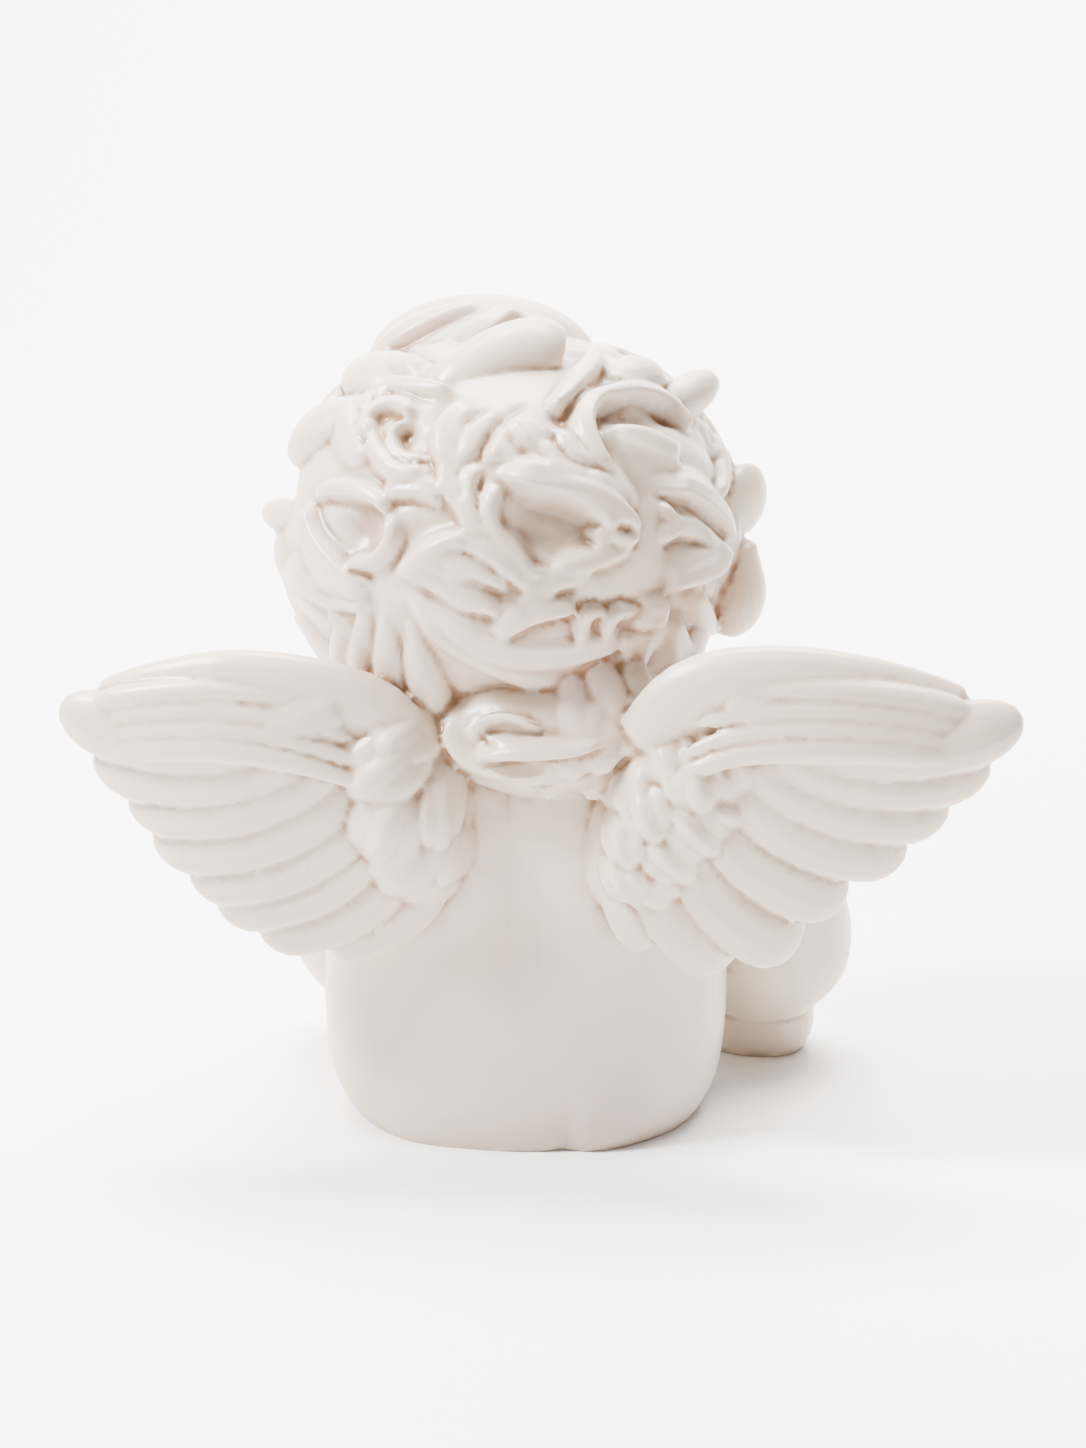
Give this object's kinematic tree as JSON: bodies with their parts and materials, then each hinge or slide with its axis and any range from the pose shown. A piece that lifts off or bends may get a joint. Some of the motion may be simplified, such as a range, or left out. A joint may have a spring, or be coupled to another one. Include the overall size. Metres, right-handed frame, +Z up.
{
  "type": "winged putto figurine",
  "caption": "Half-length winged putto figurine in ivory cast stone resin, curly hair and short feathered wings, resting on its forearms on its flat underside",
  "frame": {"origin": "On the ground, at the middle of the trunk's flat underside", "axes": "+Z up, the figure faces -Y, its right hand and right wing are at -X"},
  "size_m": [0.1318, 0.1024, 0.1198],
  "materials": {
    "putto": "satin ivory cast stone resin, a little translucent at thin edges"
  },
  "bodies": {
    "root": {"putto": "putto"}
  },
  "joints": []
}
